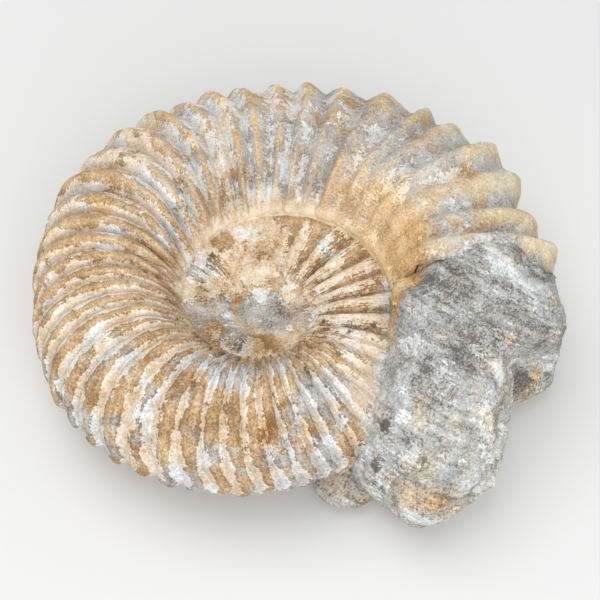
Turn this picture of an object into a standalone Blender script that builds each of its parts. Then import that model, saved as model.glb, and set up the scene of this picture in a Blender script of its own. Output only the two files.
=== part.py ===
"""Fossil ammonite lying on its side: a ribbed coil whose broken end is filled with grey stone.

Metres, +Z up. The coil turns about a vertical axis. A place along it is its turn in degrees: 0 on
the +X side, negative going back towards the middle, and clockwise going forward seen from above.
A place across a whorl is its station: 0 at the seam with the whorl inside it, FLANK_TOP where the
flank is highest, and 1 at the outer edge, the venter.
"""

import math

import bmesh
import bpy
import numpy as np
from mathutils import Vector, noise

NAME = "ammonite"

# The coil's place: the origin is at the middle of the finished stone's box, at its lowest level
COIL_X = -0.0100
COIL_Y = -0.0065
MIDPLANE_HEIGHT = 0.0220

# The spiral
LAST_TURN = 4.0
WHORLS = 3
VENTER_RADIUS = 0.0860
VENTER_GROWTH = 1.78
VENTER_TRIM = (
    (-290, 1.00), (-215, 1.01), (-178, 0.975), (-135, 1.01), (-90, 1.00), (-45, 1.03),
    (-28, 1.045), (-18, 0.970), (-8, 0.985), (40, 0.985),
)
SEAM_RADIUS = 0.0351
SEAM_GROWTH = 2.58
FLANK_TOP_RADIUS = 0.545
FLANK_SQUARENESS = 2.17
WALL_SQUARENESS = ((-720, 1.30), (-400, 1.35), (-200, 1.45))
FLANK_TOP = 0.30
SEAM_LIP = 0.0005
NUCLEUS_RISE = 0.0012
# The coil's middle lies nearer to -Y than the axis of the last whorl, less and less so further out
MIDDLE_SHIFT = 0.0046
MIDDLE_SHIFT_RADII = (0.018, 0.050)
# How far to either side the slope of a whorl is taken, in stations
SLOPE_STEP = 0.01

# Half thickness of the whorl over its radius, at turns
THICKNESS = ((-1080, 0.180), (-720, 0.190), (-540, 0.207), (-360, 0.237), (-285, 0.320), (40, 0.320))
# The side that it lies on is worn level from here on
WORN_DEPTH = 0.0222
WORN_FROM = (-250, -190)

# Ribs, from their pitch in degrees, counted over these turns
COUNTED_TURNS = (-1200.0, 100.0)
RIB_PITCH = 7.70
RIB_PITCH_SWING = 1.35
RIB_PITCH_PERIOD = 580.0
RIB_PITCH_WIDEST = -20.0
RIB_SWAY = 0.30
RIB_SWAY_PERIOD = 92.0
RIB_SWAY_MOST = -203.0
# How far the ribs lie back from their even places, in shares of a rib, by turn
RIB_SETBACK = (
    (-94, 0.0), (-84, -0.24), (-72, -0.24), (-58, -0.36), (-48, -0.44), (-40, 0.0), (-32, 0.10),
    (-24, 0.25), (-14, 0.10), (-6, 0.0),
)
FIRST_GROOVE = 1.67
RIB_HEIGHT = 0.034
RIB_SWEEP = (3.9, 3.4)
# Station by which a rib has risen to its full height
RIB_FOOT = 0.14
# How much the ribs differ in fullness, how many radians on that is from one to the next, and their lean
RIB_UNEVEN = 0.16
RIB_UNEVEN_STEP = 2.4
RIB_LEAN = 0.12
RIB_STRENGTH = (
    (-1080, 0.05), (-600, 0.10), (-540, 0.30), (-480, 0.45), (-430, 0.70), (-395, 1.10), (-330, 1.10),
    (-270, 0.80), (-190, 0.95), (-150, 1.40), (-110, 1.30), (-90, 1.15), (-50, 1.25), (40, 1.15),
)
# The lower it is, the broader the crests and the narrower the grooves
RIB_ROUNDNESS = ((-1080, 0.9), (-330, 0.7), (-260, 0.45), (-190, 0.5), (-140, 0.55), (-100, 0.8), (40, 0.8))
# On the inner whorls a rib is twice as wide, and it divides in two on its way out
DIVIDED_TURNS = ((-345, 0.0), (-295, 1.0))
DIVIDED_STATIONS = ((0.35, 0.0), (0.62, 1.0))
# Ribs worn away beside the umbilicus at the broken end
FADED_TURNS = ((-62, 0.0), (-40, 0.75))
FADED_STATIONS = ((0.25, 1.0), (0.50, 0.0))
# Where stone fills the grooves to just under the crests, by turn and by station
FILLED_TURNS = ((-332, 0.0), (-320, 1.0), (-306, 1.0), (-296, 0.0))
FILLED_STATIONS = ((0.40, 0.0), (0.62, 1.0))
FILLED_LEVEL = 0.30

# Steps of the faceted surface, with no section nearer than END_GAP degrees to the end of a whorl
END_GAP = 0.8
SECTIONS_PER_RIB = (1, 2, 4)
SEAM_ROWS = 4
VENTER_ROWS = 8
COVERED_STATION = 0.52

# Stone, measured from the coil's axis and midplane. It swells into balls, given by centre and
# radii, each broken off flat at a point, on the side that it looks to
FILL_HEART = Vector((0.0500, -0.0220, -0.0060))
FILL_BALLS = (
    ((0.0598, -0.0085, 0.0000), (0.0226, 0.0265, 0.0262), (0.0780, -0.0148, -0.0220), (0.35, -0.92, -0.16)),
    ((0.0615, -0.0115, -0.0130), (0.0215, 0.0170, 0.0170), (0.0760, -0.0160, -0.0060), (0.50, -0.50, 0.70)),
    ((0.0490, -0.0205, 0.0015), (0.0175, 0.0320, 0.0270), (0.0480, -0.0200, 0.0262), (0.24, -0.22, 0.93)),
    ((0.0450, -0.0370, -0.0020), (0.0195, 0.0225, 0.0240), (0.0450, -0.0400, 0.0205), (0.12, -0.35, 0.90)),
    ((0.0412, -0.0405, -0.0085), (0.0182, 0.0228, 0.0155), (0.0412, -0.0612, -0.0200), (0.10, -0.80, -0.60)),
)
BALL_BLEND = 0.0012
LEDGE_HEART = Vector((0.0250, -0.0430, -0.0165))
LEDGE_BALLS = (
    ((0.0250, -0.0430, -0.0165), (0.0145, 0.0115, 0.0070), (0.0250, -0.0430, -0.0110), (0.10, -0.20, 0.95)),
)
# Bumps of the broken stone, each by the size of its grain and its height
STONE_ROUGHNESS = ((0.016, 0.0036), (0.007, 0.0016))
# Times that the ball of triangles round each stone's heart is divided
FILL_DETAIL = 3
LEDGE_DETAIL = 2

# What lies below the level that the fossil rests on is cut away
GROUND_SIZE = 0.4

SHELL_COLOUR = (0.47, 0.36, 0.24, 1.0)
SHELL_ROUGHNESS = 0.85


def smooth_between(stations, value):
    """The value between (place, value) stations, level at each of them."""
    places = np.array([place for place, _ in stations], float)
    values = np.array([height for _, height in stations], float)
    value = np.clip(value, places[0], places[-1])
    at = np.clip(np.searchsorted(places, value, side="right") - 1, 0, len(places) - 2)
    share = (value - places[at]) / (places[at + 1] - places[at])
    share = share * share * (3 - 2 * share)
    return values[at] + (values[at + 1] - values[at]) * share


def step_up(value, low, high):
    """0 below low, 1 above high, and smooth between them."""
    share = np.clip((value - low) / (high - low), 0, 1)
    return share * share * (3 - 2 * share)


def venter_radius(turn):
    return VENTER_RADIUS * VENTER_GROWTH ** (turn / 360) * smooth_between(VENTER_TRIM, turn)


def seam_radius(turn):
    return SEAM_RADIUS * SEAM_GROWTH ** (turn / 360)


def half_thickness(turn):
    return smooth_between(THICKNESS, turn) * venter_radius(turn)


def seam_height(turn):
    """Height above the midplane where a whorl meets the flank of the one inside it."""
    inner = venter_radius(turn - 360)
    out = (seam_radius(turn) - FLANK_TOP_RADIUS * inner) / ((1 - FLANK_TOP_RADIUS) * inner)
    out = np.clip(out, 0, 1)
    return half_thickness(turn - 360) * (1 - out**FLANK_SQUARENESS) ** (1 / FLANK_SQUARENESS)


def section_point(turn, station, under):
    """Radius and height above the midplane, before the ribs, with the heights of the underside positive."""
    radius = venter_radius(turn)
    flank = FLANK_TOP_RADIUS * radius
    top = half_thickness(turn)
    if under:
        worn = smooth_between(((WORN_FROM[0], 0.0), (WORN_FROM[1], 1.0)), turn)
        top = top + (WORN_DEPTH - top) * worn
    seam = seam_radius(turn)
    foot = seam_height(turn)
    inward = np.radians(90 * np.clip(station / FLANK_TOP, 0, 1))
    outward = np.radians(90 * np.clip((station - FLANK_TOP) / (1 - FLANK_TOP), 0, 1))
    wall = 2 / smooth_between(WALL_SQUARENESS, turn)
    round_ = 2 / FLANK_SQUARENESS
    on_wall = station < FLANK_TOP
    across = np.where(
        on_wall,
        flank - (flank - seam) * np.clip(np.cos(inward), 0, 1) ** wall,
        flank + (radius - flank) * np.sin(outward) ** round_,
    )
    up = np.where(
        on_wall,
        foot + (top - foot) * np.sin(inward) ** wall,
        top * np.clip(np.cos(outward), 0, 1) ** round_,
    )
    return across, up


def rib_count(turn):
    """Ribs from turn 0 to here, from the pitch, which swings slowly along the coil."""
    places = np.arange(*COUNTED_TURNS, 1.0)
    swing = np.cos(2 * np.pi * (places - RIB_PITCH_WIDEST) / RIB_PITCH_PERIOD)
    pitch = RIB_PITCH + RIB_PITCH_SWING * swing
    count = np.concatenate(([0.0], np.cumsum((1 / pitch[1:] + 1 / pitch[:-1]) / 2)))
    count -= np.interp(0.0, places, count)
    sway = RIB_SWAY * np.cos(2 * np.pi * (turn - RIB_SWAY_MOST) / RIB_SWAY_PERIOD)
    return np.interp(turn, places, count) + FIRST_GROOVE - sway + smooth_between(RIB_SETBACK, turn)


def rib_turn(count):
    """The turn at which that many ribs have been counted."""
    places = np.arange(*COUNTED_TURNS, 0.5)
    return np.interp(count, rib_count(places), places)


def rib_sweep(station):
    """Degrees by which a rib lies back from its place on the top of the flank."""
    out = np.clip((station - FLANK_TOP) / (1 - FLANK_TOP), 0, 1)
    return RIB_SWEEP[0] * out + RIB_SWEEP[1] * out**2


def rib_profile(phase, roundness):
    """0 in a groove and 1 on a crest, some of them fuller than others."""
    fullness = 1 + RIB_UNEVEN * np.sin(RIB_UNEVEN_STEP * np.floor(phase))
    leaning = phase + RIB_LEAN * np.sin(np.pi * phase) ** 2
    return fullness * (0.5 - 0.5 * np.cos(2 * np.pi * leaning)) ** roundness


def rib_shape(turn, station, phase, roundness):
    """0 in a groove and 1 on a crest, with the wide ribs of the inner whorls dividing on their way out."""
    divided = smooth_between(DIVIDED_TURNS, turn)
    divided = divided + (1 - divided) * smooth_between(DIVIDED_STATIONS, station)
    wide = rib_profile(phase / 2, roundness)
    return wide + (rib_profile(phase, roundness) - wide) * divided


def rib_height(turn, station, phase):
    """Height of the surface above the smooth whorl: crests up, grooves down."""
    rise = step_up(station, 0, RIB_FOOT)
    crest = rib_shape(turn, station, phase, smooth_between(RIB_ROUNDNESS, turn)) - 0.5
    filled = smooth_between(FILLED_TURNS, turn) * smooth_between(FILLED_STATIONS, station)
    crest = crest + (FILLED_LEVEL - crest) * filled
    faded = smooth_between(FADED_TURNS, turn) * smooth_between(FADED_STATIONS, station)
    strength = smooth_between(RIB_STRENGTH, turn) * (1 - faded)
    return RIB_HEIGHT * venter_radius(turn) * strength * rise * crest


def surface_point(turn, station, under):
    """A point of the ribbed surface. The turn is that of the rib's foot."""
    place = turn - rib_sweep(station)
    across, up = section_point(place, station, under)
    before = section_point(place, max(station - SLOPE_STEP, 0.0), under)
    after = section_point(place, min(station + SLOPE_STEP, 1.0), under)
    along = np.array([after[0] - before[0], after[1] - before[1]])
    along = along / np.linalg.norm(along)
    height = rib_height(place, station, rib_count(turn))
    if station == 0:
        height = SEAM_LIP
    if station == 1:
        along = np.array([0.0, -1.0])
    across = across - along[1] * height
    up = up + along[0] * height
    angle = -math.radians(place)
    shift = MIDDLE_SHIFT * (1 - step_up(across, *MIDDLE_SHIFT_RADII))
    return Vector((across * math.cos(angle), across * math.sin(angle) - shift, -up if under else up))


def zip_rows(bm, row_a, keys_a, row_b, keys_b):
    """Fill the band between two rows of vertices with triangles, matched by their keys."""
    a = 0
    b = 0
    while a < len(row_a) - 1 or b < len(row_b) - 1:
        take_a = b == len(row_b) - 1 or (a < len(row_a) - 1 and keys_a[a + 1] <= keys_b[b + 1])
        corners = [row_a[a], row_b[b], row_a[a + 1] if take_a else row_b[b + 1]]
        if take_a:
            a += 1
        else:
            b += 1
        if len(set(corners)) == 3:
            bm.faces.new(corners)


def section_turns(whorl):
    """Turns of the sections of one whorl, a whole number of them to a rib, with both its ends."""
    last = LAST_TURN - 360 * (WHORLS - 1 - whorl)
    first = last - 360
    step = 1 / SECTIONS_PER_RIB[whorl]
    counts = np.arange(math.ceil(rib_count(first) / step), rib_count(last) / step) * step
    turns = [turn for turn in rib_turn(counts) if first + END_GAP < turn < last - END_GAP]
    return [first] + turns + [last]


def covered_station(turn, under):
    """The station where the next whorl's seam runs over this one."""
    fine = np.linspace(0, 1, 201)
    across, _ = section_point(turn, fine, under)
    return float(np.interp(seam_radius(turn + 360), across, fine))


def inner_rows(bm, turns, under):
    """The rows of a whorl that shows only from its own seam to the next whorl's."""
    covers = [covered_station(turn, under) for turn in turns]
    shares = np.linspace(0, 1, SEAM_ROWS + 1)[:-1]
    return [
        [bm.verts.new(surface_point(turn, share * cover, under)) for turn, cover in zip(turns, covers)]
        for share in shares
    ]


def outer_rows(bm, turns, under):
    """The rows of the last whorl, from its seam to just short of the venter."""
    stations = np.concatenate((
        np.linspace(0, COVERED_STATION, SEAM_ROWS + 1),
        np.linspace(COVERED_STATION, 1, VENTER_ROWS - SEAM_ROWS + 1)[1:-1],
    ))
    return [[bm.verts.new(surface_point(turn, station, under)) for turn in turns] for station in stations]


def share_first(bm, row, vert):
    """Start a row at a vertex that is already there."""
    bm.verts.remove(row[0])
    row[0] = vert


def add_nucleus(bm, loop, under):
    """Close the middle of the coil with a low cone."""
    top = sum((vert.co for vert in loop), Vector()) / len(loop)
    top.z += -NUCLEUS_RISE if under else NUCLEUS_RISE
    middle = bm.verts.new(top)
    for here, there in zip(loop, loop[1:] + loop[:1]):
        bm.faces.new([middle, here, there])


def add_side(bm, under, venter):
    """One side of the coil from the middle out. Gives the rows of the last whorl."""
    last = WHORLS - 1
    turns = [section_turns(whorl) for whorl in range(WHORLS)]
    rows = [inner_rows(bm, turns[whorl], under) for whorl in range(last)]
    rows.append(outer_rows(bm, turns[last], under) + [venter])
    for whorl in range(1, WHORLS):
        for row, row_before in zip(rows[whorl], rows[whorl - 1]):
            share_first(bm, row, row_before[-1])
    share_first(bm, rows[last][SEAM_ROWS], rows[last][0][-1])
    for whorl in range(WHORLS):
        for low, high in zip(rows[whorl], rows[whorl][1:]):
            zip_rows(bm, low, turns[whorl], high, turns[whorl])
        if whorl < last:
            keys = [turn - 360 for turn in turns[whorl + 1]]
            zip_rows(bm, rows[whorl][-1], turns[whorl], rows[whorl + 1][0], keys)
    first_section = [row[0] for row in rows[0]]
    add_nucleus(bm, rows[0][0] + first_section[:0:-1], under)
    return rows[last]


def coil_mesh():
    """The whole coil as one closed surface, with both umbilici and the broken end."""
    bm = bmesh.new()
    turns = section_turns(WHORLS - 1)
    venter = [bm.verts.new(surface_point(turn, 1.0, False)) for turn in turns]
    top = add_side(bm, False, venter)
    below = add_side(bm, True, venter)
    end = [row[-1] for row in top] + [row[-1] for row in below[-2::-1]]
    start = [row[0] for row in top[SEAM_ROWS:]] + [row[0] for row in below[-2 : SEAM_ROWS - 1 : -1]]
    zip_rows(bm, end, np.linspace(0, 1, len(end)), start, np.linspace(0, 1, len(start)))
    bmesh.ops.recalc_face_normals(bm, faces=bm.faces)
    mesh = bpy.data.meshes.new(NAME)
    bm.to_mesh(mesh)
    bm.free()
    return mesh


def ball_exit(heart, way, centre, radii):
    """How far it is from the heart, inside the ball, to the ball's surface."""
    start = [(heart[i] - centre[i]) / radii[i] for i in range(3)]
    step = [way[i] / radii[i] for i in range(3)]
    a = sum(s * s for s in step)
    b = sum(p * s for p, s in zip(start, step))
    c = sum(p * p for p in start) - 1
    return (-b + math.sqrt(b * b - a * c)) / a


def stone_reach(heart, way, balls):
    """Distance from the heart to the stone's surface, where the broken balls run together."""
    total = 0.0
    for centre, radii, point, normal in balls:
        normal = Vector(normal).normalized()
        facing = normal.dot(way)
        near = math.exp(-ball_exit(heart, way, centre, radii) / BALL_BLEND)
        if facing > 0:
            near += math.exp(-normal.dot(Vector(point) - heart) / facing / BALL_BLEND)
        total += 1 / near
    return BALL_BLEND * math.log(total)


def stone_mesh(name, heart, balls, detail):
    """A rough stone round its heart, as a ball of triangles pushed out to the stone's surface."""
    bm = bmesh.new()
    bmesh.ops.create_icosphere(bm, subdivisions=detail, radius=1.0)
    for vert in bm.verts:
        way = vert.co.normalized()
        place = heart + way * stone_reach(heart, way, balls)
        bump = sum(height * noise.noise(place / grain) for grain, height in STONE_ROUGHNESS)
        vert.co = place + way * bump
    mesh = bpy.data.meshes.new(name)
    bm.to_mesh(mesh)
    bm.free()
    return mesh


def add_object(name, mesh, collection, place):
    obj = bpy.data.objects.new(name, mesh)
    obj.location = place
    collection.objects.link(obj)
    return obj


def as_cutter(obj):
    obj.hide_render = True
    obj.display_type = "WIRE"


def add_boolean(obj, other, operation):
    modifier = obj.modifiers.new(other.name, "BOOLEAN")
    modifier.operation = operation
    modifier.solver = "EXACT"
    modifier.object = other


def main():
    for obj in list(bpy.data.objects):
        bpy.data.objects.remove(obj)
    scene = bpy.context.scene
    parts = bpy.data.collections.new(NAME)
    cutters = bpy.data.collections.new("cutters")
    scene.collection.children.link(parts)
    scene.collection.children.link(cutters)

    axis = Vector((COIL_X, COIL_Y, MIDPLANE_HEIGHT))
    ammonite = add_object(NAME, coil_mesh(), parts, axis)
    fill = add_object("fill", stone_mesh("fill", FILL_HEART, FILL_BALLS, FILL_DETAIL), cutters, axis)
    ledge = add_object("ledge", stone_mesh("ledge", LEDGE_HEART, LEDGE_BALLS, LEDGE_DETAIL), cutters, axis)
    for stone in (fill, ledge):
        as_cutter(stone)
        add_boolean(ammonite, stone, "UNION")

    ground = bpy.data.meshes.new("ground")
    bm = bmesh.new()
    bmesh.ops.create_cube(bm, size=GROUND_SIZE)
    bm.to_mesh(ground)
    bm.free()
    below = add_object("ground", ground, cutters, (0, 0, -GROUND_SIZE / 2))
    as_cutter(below)
    add_boolean(ammonite, below, "DIFFERENCE")

    material = bpy.data.materials.new("weathered_stone")
    material.use_nodes = True
    shader = material.node_tree.nodes["Principled BSDF"]
    shader.inputs["Base Color"].default_value = SHELL_COLOUR
    shader.inputs["Roughness"].default_value = SHELL_ROUGHNESS
    shader.inputs["Metallic"].default_value = 0.0
    ammonite.data.materials.append(material)


main()
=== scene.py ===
"""Fossil ammonite: a ribbed coil with grey stone in its broken end, lying on a plain pale floor."""

import math

import bmesh
import bpy
import numpy as np
from mathutils import Matrix, Vector, noise


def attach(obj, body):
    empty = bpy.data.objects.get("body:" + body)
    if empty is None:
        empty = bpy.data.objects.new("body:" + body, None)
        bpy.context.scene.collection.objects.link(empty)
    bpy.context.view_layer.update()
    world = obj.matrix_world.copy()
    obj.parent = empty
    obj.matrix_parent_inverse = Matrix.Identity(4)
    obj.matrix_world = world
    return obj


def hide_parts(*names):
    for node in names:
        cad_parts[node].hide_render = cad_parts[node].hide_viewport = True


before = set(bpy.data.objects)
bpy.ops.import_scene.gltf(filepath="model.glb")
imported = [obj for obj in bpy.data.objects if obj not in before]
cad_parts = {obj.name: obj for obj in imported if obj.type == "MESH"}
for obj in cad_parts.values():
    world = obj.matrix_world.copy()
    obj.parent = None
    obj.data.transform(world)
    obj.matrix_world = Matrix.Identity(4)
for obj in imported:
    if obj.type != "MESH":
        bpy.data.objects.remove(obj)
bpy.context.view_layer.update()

# The coil, in metres. A place along it is its turn in degrees: 0 on the +X side, negative going back
# towards the middle, and clockwise going forward seen from above. A place across a whorl is its
# station: 0 at the seam with the whorl inside it, FLANK_TOP where the flank is highest, 1 at the venter.
COIL_AXIS = Vector((-0.01, -0.0065, 0.022))
LAST_TURN = 4.0
WHORLS = 3
VENTER_RADIUS = 0.086
VENTER_GROWTH = 1.78
VENTER_TRIM = (
    (-290, 1), (-215, 1.01), (-178, 0.975), (-135, 1.01), (-90, 1), (-45, 1.03), (-28, 1.045), (-18, 0.97),
    (-8, 0.985),
)
SEAM_RADIUS = 0.0351
SEAM_GROWTH = 2.58
FLANK_TOP_RADIUS = 0.545
FLANK_SQUARENESS = 2.17
WALL_SQUARENESS = ((-720, 1.3), (-400, 1.35), (-200, 1.45))
FLANK_TOP = 0.3
SEAM_LIP = 0.0005
# The coil's middle lies nearer to -Y than the axis of the last whorl, less and less so further out
MIDDLE_SHIFT = 0.0046
MIDDLE_SHIFT_RADII = (0.018, 0.05)
# How far the middle is worn towards its mean height, by distance from its centre, and its low dome
WORN_MIDDLE = ((0.003, 1), (0.006, 0.5), (0.0105, 0.4), (0.015, 0))
WORN_RINGS = 16
DOME_RISE = 0.0007
DOME_RADIUS = 0.0042
# Rows beside a seam that its fill reaches, and how often and how far they are smoothed
SEAM_FILL_ROWS = 3
SEAM_FILL_PASSES = 8
SEAM_FILL_SHARE = 0.5
# How far to either side the slope of a whorl is taken, in stations
SLOPE_STEP = 0.01
NUCLEUS_RISE = 0.0012
THICKNESS = ((-1080, 0.18), (-720, 0.19), (-540, 0.207), (-360, 0.237), (-285, 0.32))
WORN_DEPTH = 0.0222
WORN_FROM = (-250, -190)

# Ribs, from their pitch in degrees, counted over these turns
COUNTED_TURNS = (-1200.0, 100.0)
COUNT_STEP = 1.0
TURN_STEP = 0.5
RIB_PITCH = 7.7
RIB_PITCH_SWING = 1.35
RIB_PITCH_PERIOD = 580.0
RIB_PITCH_WIDEST = -20.0
RIB_SWAY = 0.3
RIB_SWAY_PERIOD = 92.0
RIB_SWAY_MOST = -203.0
# How far the ribs lie back from their even places, in shares of a rib, by turn
RIB_SETBACK = (
    (-94, 0), (-84, -0.24), (-72, -0.24), (-58, -0.36), (-48, -0.44), (-40, 0), (-32, 0.1), (-24, 0.25),
    (-14, 0.1), (-6, 0),
)
FIRST_GROOVE = 1.67
RIB_HEIGHT = 0.034
RIB_SWEEP = (3.9, 3.4)
RIB_FOOT = 0.14
RIB_UNEVEN = 0.16
RIB_UNEVEN_STEP = 2.4
RIB_LEAN = 0.12
RIB_STRENGTH = (
    (-1080, 0.05), (-600, 0.1), (-540, 0.3), (-480, 0.45), (-430, 0.7), (-395, 1.1), (-330, 1.1),
    (-270, 0.8), (-190, 0.95), (-150, 1.4), (-110, 1.3), (-90, 1.15), (-50, 1.25), (40, 1.15),
)
RIB_ROUNDNESS = ((-1080, 0.9), (-330, 0.7), (-260, 0.45), (-190, 0.5), (-140, 0.55), (-100, 0.8))
# On the inner whorls a rib is twice as wide, and it divides in two on its way out to the venter
DIVIDED_TURNS = ((-345, 0), (-295, 1))
DIVIDED_STATIONS = ((0.35, 0), (0.62, 1))
# Ribs worn away beside the umbilicus at the broken end
FADED_TURNS = ((-62, 0), (-40, 0.75))
FADED_STATIONS = ((0.25, 1), (0.5, 0))
# Ribs hidden by rock that fills the grooves beside the boulder
FILLED_TURNS = ((-332, 0), (-320, 1), (-306, 1), (-296, 0))
FILLED_STATIONS = ((0.4, 0), (0.62, 1))
FILLED_LEVEL = 0.3

# What the weathering depends on along the coil, by turn: how plainly chalk follows the ribs, how much
# of it there is, how grey the flank is, the orange stain and the cream rim round the umbilicus
CHALK_RIBS = (
    (-1080, 0), (-560, 0.1), (-500, 0.3), (-430, 0.5), (-380, 0.75), (-320, 1), (-290, 1.25), (-200, 1.15),
    (-150, 0.75), (-115, 0.45), (-60, 0.4), (4, 0.5),
)
CHALK_LEVEL = (
    (-1080, -0.05), (-560, 0), (-480, 0.08), (-420, 0.04), (-345, 0.05), (-310, 0.12), (-290, -0.12),
    (-255, -0.2), (-215, -0.22), (-185, -0.14), (-165, -0.08), (-120, 0.02), (-75, -0.02), (-50, -0.18),
    (-20, -0.2), (4, -0.16),
)
# Chalk that lies on one flank of the ribs, grey on the inner half of the flank, rust on the crests,
# and how far the chalk is drawn out along the ribs
ONE_SIDED = ((-200, 0), (-170, 0.15), (-120, 0.15), (-90, 0))
GREY_INSIDE = ((-180, 0), (-160, 0.2), (-110, 0.25), (-60, 0.3), (-42, 0.1), (4, 0))
CREST_RUST = ((-260, 0), (-200, 0.25), (-160, 0.45), (-120, 0.6), (-70, 0.55), (-45, 0.2), (4, 0))
STREAK_SHARE = (
    (-540, 0.4), (-515, 1), (-490, 1), (-472, 0.35), (-440, 0.35), (-405, 1), (-190, 1), (-150, 0.75),
    (-110, 0.35), (4, 0.3),
)
FAN_TURNS = ((-470, 0), (-420, 1), (-345, 1), (-310, 0))
GREY_LEVEL = (
    (-1080, 0.15), (-640, 0.3), (-520, 0.2), (-400, 0.05), (-310, 0.1), (-280, 0.38), (-230, 0.15),
    (-180, 0.05), (-140, 0.2), (-100, 0.36), (-40, 0.55), (-18, 0.45), (4, 0.1),
)
STAIN_TURNS = ((-75, 0), (-42, 0.6), (-15, 0.9))
LIP_LEVEL = (
    (-500, 0), (-470, 0.25), (-400, 0.25), (-360, 0.05), (-300, 0.05), (-240, 0.25), (-160, 0.3),
    (-108, 0.9), (-66, 1), (-35, 0.75), (4, 0.5),
)
NUCLEUS_EDGE = (0.0054, 0.0078)
# How much paler or darker the coil is, by turn
TONE_LEVEL = (
    (-500, -0.02), (-440, -0.01), (-400, 0.02), (-320, 0.02), (-290, -0.03), (-225, -0.05), (-180, 0.05),
    (-130, 0.07), (-90, 0.1), (-62, 0), (-35, 0.04),
)
# Marks on the coil: turn, station, width in degrees and in stations, strength
AMBER_MARKS = (
    (-156.5, 0.46, 3.5, 0.07, 1), (-271, 0.62, 4, 0.09, 0.9), (-163, 0.7, 5, 0.1, 0.5),
    (-172, 0.62, 5, 0.14, 0.5), (-150, 0.8, 5, 0.1, 0.4), (-2, 0.05, 6, 0.09, 0.8),
    (-9, 0.16, 6, 0.1, 0.35),
)
BROWN_MARKS = ((-270.5, 0.64, 1.5, 0.06, 0.9), (-272, 0.55, 1.2, 0.05, 0.5), (-262, 0.64, 1.2, 0.05, 0.4))
# Bluish grey chalk
BLUE_MARKS = (
    (-235, 0.63, 2.5, 0.12, 0.8), (-228, 0.74, 2, 0.05, 0.7), (-255, 0.75, 3, 0.06, 0.6),
    (-221, 0.9, 3, 0.06, 0.7), (-278, 0.72, 3, 0.14, 0.5), (-287, 0.8, 3, 0.12, 0.6),
    (-500, 0.3, 20, 0.06, 0.6), (-560, 0.1, 30, 0.06, 0.4),
)
TONE_MARKS = (
    (-437, 0.23, 16, 0.1, -0.24), (-625, 0.18, 22, 0.09, -0.45), (-575, 0.2, 14, 0.08, -0.06),
    (-531, 0.15, 8, 0.08, -0.14), (-497, 0.34, 11, 0.06, 0.22), (-526, 0.24, 6, 0.04, -0.25),
    (-54, 0.45, 10, 0.2, -0.1), (-30, 0.47, 12, 0.12, -0.12), (-9, 0.38, 7, 0.12, -0.14),
    (-2, 0.06, 6, 0.08, -0.15), (-20, 0.32, 16, 0.2, 0.1), (-462, 0.13, 7, 0.05, 0.15),
    (-446, 0.07, 8, 0.04, 0.15),
)
CHALK_SPOTS = (
    (-488, 0.36, 2.5, 0.04, 1), (-496, 0.34, 2, 0.04, 1), (-502, 0.31, 2.5, 0.05, 1.1),
    (-511, 0.22, 2.5, 0.04, 1), (-519, 0.18, 3, 0.03, 1), (-560, 0.1, 20, 0.05, 0.3),
    (-216, 0.52, 6, 0.09, 0.5), (-186, 0.3, 5, 0.12, 0.4), (-513, 0.06, 5, 0.05, 0.7),
    (-462, 0.13, 7, 0.05, 0.9), (-446, 0.07, 8, 0.04, 0.8), (-432, 0.03, 8, 0.03, 0.7),
    (-493, 0.34, 3, 0.04, 0.8), (-478, 0.34, 4, 0.04, 0.6), (-574, 0.22, 8, 0.05, 0.5),
    (-459, 0.22, 2, 0.03, 0.5), (-382, 0.24, 3, 0.1, 0.4), (-395, 0.3, 4, 0.12, 0.4),
    (-191, 0.68, 4, 0.3, 0.35), (-200, 0.4, 4, 0.2, 0.25), (-235, 0.63, 2, 0.11, 0.5),
    (-210, 0.51, 4, 0.07, 0.4), (-228, 0.74, 1.6, 0.05, 0.3), (-255, 0.75, 2.5, 0.06, 0.3),
)
# Pale yellowish crests and smooth grey grooves towards the venter
TIP_TURNS = ((-88, 0), (-62, 0.7), (-40, 1))
# Painted shade in the groove floors of the ribs, by turn
PAINTED_SHADE_LEVEL = (
    (-440, 0), (-410, 0.6), (-350, 0.7), (-310, 0.3), (-240, 0.05), (-185, 0.3), (-160, 0.8), (-120, 0.8),
    (-80, 0.45), (-50, 0.5), (4, 0.4),
)
CALM_LEVEL = ((-75, 0), (-50, 0.35))
# Chalk and blue grey along the venter
VENTER_CHALK = ((-330, 0), (-300, 0.25), (-250, 0.22), (-215, 0.2), (-190, 0.15), (-170, 0))
# Pale rock along the seam
SEAM_CHALK = ((-330, 0), (-310, 0.35), (-130, 0.35), (-110, 0))
PIT_MARKS = (
    (-491, 0.28, 2, 0.03, 0.9), (-500, 0.25, 2, 0.03, 0.6), (-522, 0.21, 2, 0.05, 0.7),
    (-604, 0.2, 6, 0.06, 0.7), (-392, 0.17, 2.5, 0.1, 0.8), (-336, 0.13, 1.4, 0.025, 0.9),
    (-326, 0.16, 1.4, 0.025, 0.9), (-327, 0.29, 1.6, 0.03, 0.8), (-291, 0.33, 1.5, 0.04, 0.7),
    (-289, 0.43, 1.3, 0.03, 0.7), (-336, 0.39, 3, 0.05, 0.6), (-428, 0.17, 3, 0.05, 0.5),
    (-298, 0.9, 2, 0.05, 0.7), (-294, 0.92, 1.5, 0.04, 0.7), (-234, 0.53, 0.8, 0.02, 0.7),
    (-230, 0.35, 0.9, 0.03, 0.7), (-228, 0.78, 0.8, 0.02, 0.6), (-243, 0.88, 0.8, 0.02, 0.6),
    (-235, 0.91, 0.8, 0.02, 0.6), (-221, 0.29, 0.5, 0.012, 1),
)

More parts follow.
